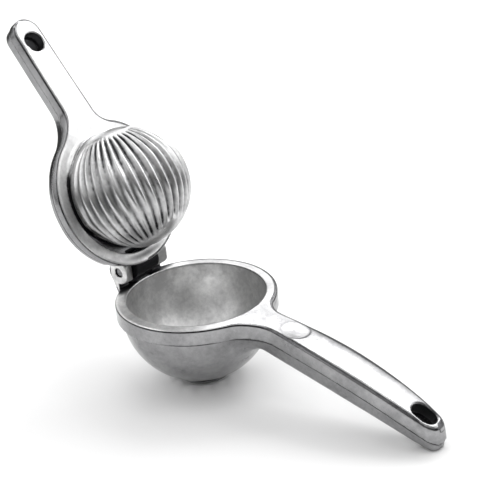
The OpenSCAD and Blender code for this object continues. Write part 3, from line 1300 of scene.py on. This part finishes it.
    def flutes(self, x: Array, y: Array, w: Array) -> Array:
        """Where the flutes between the ribs run.

        Args:
            x: Places along the lever.
            y: Places across it.
            w: Heights above the flange's face.

        Returns:
            0 on the ribs and past their ends, 1 in the middle of a flute.
        """
        down = -(w + self.dome_up)
        turn = np.degrees(np.arctan2(y, down))
        tilt = np.degrees(np.arctan2(x, np.hypot(y, down)))
        sway = 0.09 * ripple(x, y, w, size=13.0, seed=21)
        ridge = np.abs(np.cos(math.pi * (turn / self.pitch_deg + sway)))
        reach = np.abs(tilt) - 5 * ease(-20, -6, x) - 7 * ease(20, 70, turn)
        reach = reach + 3 * ripple(x, y, w, size=6.0, seed=25)
        reach = reach + 16 * ease(5, 35, -tilt) * ease(-50, 0, turn)
        edge = (self.grooves / 2) * self.pitch_deg
        fade = (1 - ease(52, 64, reach)) * (1 - ease(edge - 1, edge + 4, np.abs(turn)))
        return fade * ridge ** (2.3 + 0.6 * ripple(x, y, w, size=17.0, seed=23))

    def _dome(self, x: Array, y: Array, w: Array, upright: Array) -> Array:
        """Ball on its skirt, with its ribs.

        Args:
            x: Places along the lever.
            y: Places across it.
            w: Heights above the flange's face.
            upright: 1 where the skirt stands upright, 0 where it draws in to its foot.

        Returns:
            Distances in millimetres.
        """
        down = -(w + self.dome_up)
        r = np.hypot(x, y)
        out = np.hypot(r, down)
        taper = (self.dome_r - self.foot_r) / (self.dome_up + self.moat) * (1 - upright)
        cone = (r - self.dome_r + taper * (w + self.dome_up)) / np.hypot(1, taper)
        ball = np.where(down > 0, out - self.dome_r, cone)
        turn = np.abs(np.degrees(np.arctan2(y, down)))
        uneven = 1 + 0.3 * ease(20, 70, turn) * (y > 0) + 0.25 * ripple(x, y, w, size=10.0, seed=27)
        deep = self.groove_depth * uneven * (1 - 0.5 * ease(80, 90, turn))
        deep = deep + 0.09 * ripple(x, y, w, size=1.9, seed=29)
        return np.maximum(ball + deep * self.flutes(x, y, w), w - self.moat - 0.6)

    def _hollow(self, r: Array, w: Array) -> Array:
        """Hollow behind the dome.

        Args:
            r: Distances from the dome's axis.
            w: Heights above the flange's face.

        Returns:
            Distances in millimetres.
        """
        down = -(w + self.dome_up)
        inner = np.where(down > 0, np.hypot(r, down), 0) - self.dome_r + self.dome_wall
        return meet(r - self.hollow_r, inner, 4.0)

    def _knuckle(self, x: Array, y: Array, z: Array) -> Array:
        """Middle knuckle with its web to the flange and its stop heel.

        Args:
            x: Places along the lever.
            y: Places across it, all above 0.
            z: Heights.

        Returns:
            Distances in millimetres.
        """
        h = self.hinge
        k = h.knuckle_r
        back = self.face_z + self.flange_t
        web = [
            (h.x - 0.7, h.z + 0.5),
            (h.x, h.z - k + 0.4),
            (6 - self.flange_r, self.face_z + 0.4),
            (8 - self.flange_r, self.face_z + 2),
            (8 - self.flange_r, back - 0.3),
            (h.x + 2, h.z + k - 0.3),
        ]
        turn = math.radians(h.open_deg)
        u = (x - h.x) * math.cos(turn) - (z - h.z) * math.sin(turn)
        v = (x - h.x) * math.sin(turn) + (z - h.z) * math.cos(turn)
        heel = [(0.9, -1), (-k * 0.93, -k * 0.36), (-3.1, -self.heel_r), (0.9, -self.heel_r)]
        knuckle = np.minimum(h.off_axis(x, z) - k, polygon(web, x, z))
        return meet(np.minimum(knuckle, polygon(heel, u, v)), y - h.mid_half, 0.3)

    def marks(self, x: Array, y: Array, z: Array) -> dict[str, Array]:
        """Marks of the press lever: dome and land rubbed and lit by painted light, grime and painted shade
        in the flutes, painted shade on the knuckle.

        Args:
            x: Places along the lever.
            y: Places across it.
            z: Heights, with the tool shut.

        Returns:
            The marks by name.
        """
        h = self.hinge
        w = z - self.face_z
        r = np.hypot(x, y)
        depth = w - self.face_line(x)
        outside = np.where(x < 36, r > self.flange_r - 2.6, np.abs(y) > self.eye_r + 0.6)
        outside = outside | (x > 95)
        lug = (x < -30) & (np.abs(y) < h.half_width + 1)
        inset = 3 * ease(2.4, 3.4, depth) + 3 * (1 - ease(-3, 0, y)) - self.plan(x, y, w)

        # Painted light: the dome and the raised land are lightened, partly rubbed by use.
        dome = 1.0 * (np.sqrt(x * x + y * y + (w + self.dome_up) ** 2) < self.dome_r + 0.6) * (w < -1)
        land = ease(self.land_r - 0.4, self.land_r + 0.2, r) * (1 - ease(20, 45, x))

        # Painted shade on the middle knuckle; in the flutes grime, with painted shade growing toward the
        # far side.
        knuckle_shade = ease(0.6, 1.6, depth) * (h.off_axis(x, z) < 9.5) * (np.abs(y) < h.mid_half + 0.4)
        grime_and_shade = 0.5 + 0.7 * ripple(x, y, z, size=8.0, seed=31) + ease(15, 27, y)
        grime_and_shade = dome * self.flutes(x, y, w) ** 2 * np.clip(grime_and_shade, 0, 0.85)
        return {
            "depth": depth,
            "outer": 1.0 * (outside & ~lug),
            "inset": inset,
            "groove": np.maximum(knuckle_shade, grime_and_shade),
            "rub_and_painted_light": np.maximum(0.3 * dome, 0.6 * land * (1 - ease(0.2, 0.6, depth))),
        }

    def build(self, finish: bpy.types.Material) -> None:
        """Builds the casting, opens it and sets it in place of its CAD node.

        Args:
            finish: Material of the casting.
        """
        h = self.hinge
        pivot = Matrix.Translation((h.x * MM, 0, h.z * MM))
        opened = pivot @ Matrix.Rotation(math.radians(-h.open_deg), 4, "Y") @ pivot.inverted()
        made = self.cast("press_lever_casting", finish, opened)
        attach(made, "press_half")
        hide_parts("press_lever")


@dataclass
class HingePin:
    """Ground steel pin, its ends turned with a small centre dimple.

    Attributes:
        hinge: The hinge that it goes through.
        around: Number of faces round it.
    """

    hinge: Hinge
    around: int = 72

    def build(self, finish: bpy.types.Material) -> None:
        """Turns the pin from its outline.

        Args:
            finish: Material of the pin.
        """
        h = self.hinge
        half = h.half_width - h.recess
        end = [
            (0.0, half - 0.45),
            (0.35, half - 0.4),
            (0.75, half - 0.02),
            (h.pin_r - 0.4, half),
            (h.pin_r - 0.12, half - 0.1),
            (h.pin_r, half - 0.4),
        ]
        outline = end + [(radius, -place) for radius, place in reversed(end)]
        wall = outline[1:-1]
        rows = len(wall)
        middle = self.around * rows
        points, sides, caps = [], [], []
        for k in range(self.around):
            angle = 2 * math.pi * k / self.around
            for radius, place in wall:
                points.append((h.x + radius * math.cos(angle), place, h.z + radius * math.sin(angle)))
            a, b = k * rows, (k + 1) % self.around * rows
            sides += [(a + i, a + i + 1, b + i + 1, b + i) for i in range(rows - 1)]
            caps += [(middle, a, b), (middle + 1, b + rows - 1, a + rows - 1)]
        points += [(h.x, outline[0][1], h.z), (h.x, outline[-1][1], h.z)]
        mesh = bpy.data.meshes.new("hinge_pin_turned")
        mesh.from_pydata([tuple(c * MM for c in p) for p in points], [], sides + caps)
        mesh.polygons.foreach_set("use_smooth", [True] * len(mesh.polygons))
        mesh.materials.append(finish)
        made = add_object("hinge_pin_turned", mesh)
        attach(made, "bowl_half")
        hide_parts("hinge_pin")
        LOG.info("hinge_pin_turned: %d faces", len(mesh.polygons))


# Stage


def toward(azimuth: float, height: float) -> Vector:
    """Direction at an azimuth from +X toward +Y and a height above the bench, in degrees."""
    az, el = math.radians(azimuth), math.radians(height)
    return Vector((math.cos(el) * math.cos(az), math.cos(el) * math.sin(az), math.sin(el)))


@dataclass(frozen=True)
class Viewpoint:
    """Where the camera stands: angles in degrees, lengths in metres.

    Attributes:
        azimuth: Direction to the camera from the aim, from +X toward +Y.
        height: Its angle above the bench.
        roll: Tilt of the camera about its own line of sight.
        distance: Distance from the aim.
        lens: Focal length in millimetres on a 36 mm sensor.
        aim: Point that the camera looks at.
    """

    azimuth: float = -49.04
    height: float = 24.15
    roll: float = -5.5
    distance: float = 0.786
    lens: float = 112.5
    aim: Point = (-0.0199, 0.0593, 0.0442)

    def place(self) -> None:
        """Sets the scene's camera."""
        out = toward(self.azimuth, self.height)
        level = (-out).cross(Vector((0, 0, 1))).normalized()
        upright = level.cross(-out)
        cosine, sine = math.cos(math.radians(self.roll)), math.sin(math.radians(self.roll))
        right = level * cosine + upright * sine
        up = upright * cosine - level * sine
        data = bpy.data.cameras.new("camera")
        data.lens = self.lens
        data.sensor_width = 36.0
        data.clip_start, data.clip_end = 0.01, 20.0
        camera = add_object("camera", data)
        rotation = Matrix((right, up, out)).transposed().to_4x4()
        camera.matrix_world = Matrix.Translation(Vector(self.aim) + out * self.distance) @ rotation
        bpy.context.scene.camera = camera


@dataclass(frozen=True)
class SoftBox:
    """One area light, turned toward the tool.

    Attributes:
        name: Name of the light.
        azimuth: Direction to it in degrees, from +X toward +Y.
        height: Its angle above the bench in degrees.
        size: Width and height in metres.
        power: Power in watts.
        distance: Distance from the tool in metres.
        aim: Point that it is turned toward.
    """

    name: str
    azimuth: float
    height: float
    size: tuple[float, float]
    power: float
    distance: float = 1.5
    aim: Point = (0.02, 0.0, 0.05)

    def hang(self) -> None:
        """Adds the light to the scene."""
        out = toward(self.azimuth, self.height)
        data = bpy.data.lights.new(self.name, "AREA")
        data.shape = "RECTANGLE"
        data.size, data.size_y = self.size
        data.energy = self.power
        lamp = add_object(self.name, data)
        lamp.location = Vector(self.aim) + out * self.distance
        lamp.rotation_euler = (-out).to_track_quat("-Z", "Y").to_euler()


@dataclass(frozen=True)
class LightRing:
    """Soft boxes side by side in a ring, brighter toward the back and the left.

    Attributes:
        name: Name of the ring.
        height: Its angle above the bench in degrees.
        count: Number of boxes.
        size: Width and height of a box in metres.
        base: Power of every box in watts.
        back: Power added at the brightest place behind the tool.
        left: Power added at the brightest place to its left.
    """

    name: str
    height: float
    count: int
    size: tuple[float, float]
    base: float
    back: float
    left: float

    def hang(self) -> None:
        """Hangs all boxes of the ring."""
        for k in range(self.count):
            azimuth = 360.0 * k / self.count
            power = self.base + self.back * self._lobe(azimuth - 90.0)
            power += self.left * self._lobe(azimuth - 210.0)
            SoftBox(f"{self.name}_{k}", azimuth, self.height, self.size, power).hang()

    def _lobe(self, turn: float) -> float:
        """Share of the added power at an angle from its brightest place."""
        return max(0.0, math.cos(math.radians(turn))) ** 1.5


@dataclass
class Studio:
    """Pale floor, soft lights and the room's own glow.

    Attributes:
        floor_half: Half the floor's width in metres.
        floor_grey: Grey of the floor.
        glow: Strength of the light from the room.
    """

    floor_half: float = 3.0
    floor_grey: float = 0.86
    glow: float = 0.03

    def build(self) -> None:
        """Lays the floor, hangs the lights and sets the room."""
        self._floor()
        LightRing("low_ring", 29.5, 12, (0.75, 0.55), base=0.25, back=3.3, left=1.9).hang()
        LightRing("high_ring", 50.0, 8, (0.8, 0.58), base=1.2, back=5.4, left=2.0).hang()
        SoftBox("overhead_box", azimuth=0.0, height=84.0, size=(0.8, 0.8), power=4.2).hang()
        SoftBox("left_low_box", azimuth=215.0, height=12.0, size=(1.0, 0.5), power=1.2).hang()
        SoftBox("back_low_box", azimuth=46.0, height=11.0, size=(0.9, 0.6), power=2.6).hang()
        world = bpy.data.worlds.new("room")
        world.use_nodes = True
        backdrop = world.node_tree.nodes["Background"]
        backdrop.inputs["Color"].default_value = (1.0, 1.0, 1.0, 1.0)
        backdrop.inputs["Strength"].default_value = self.glow
        bpy.context.scene.world = world
        view = bpy.context.scene.view_settings
        view.view_transform = "Standard"
        view.look = "None"

    def _floor(self) -> None:
        """Lays the floor just under the tool."""
        half = self.floor_half
        points = [(-half, -half, 0), (half, -half, 0), (half, half, 0), (-half, half, 0)]
        floor = mesh_object("floor", np.array(points), np.array([(0, 1, 2, 3)]), {})
        material = bpy.data.materials.new("pale_floor")
        material.use_nodes = True
        shader = material.node_tree.nodes["Principled BSDF"]
        shader.inputs["Base Color"].default_value = (*[self.floor_grey] * 3, 1.0)
        shader.inputs["Roughness"].default_value = 0.9
        floor.data.materials.append(material)


def corners(box: Sequence[Sequence[float]]) -> list[list[float]]:
    """Lowest and highest corner of a box as plain lists of numbers."""
    return [[float(v) for v in corner] for corner in box]


def main() -> None:
    """Builds the squeezer and its stage in order."""
    logging.basicConfig(level=logging.INFO, format="%(name)s %(message)s")
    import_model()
    Viewpoint().place()
    Studio().build()
    hinge = Hinge()
    BowlLever(hinge).build(CastAluminium("cast_aluminium_bowl").make())
    bright = CastAluminium("cast_aluminium_press", Tone.BRIGHT_DARK, Tone.BRIGHT_LIGHT, skin=0.5, seam=5.4)
    PressLever(hinge).build(bright.make())
    HingePin(hinge).build(GroundSteel().make())


if __name__ == "__main__":
    main()
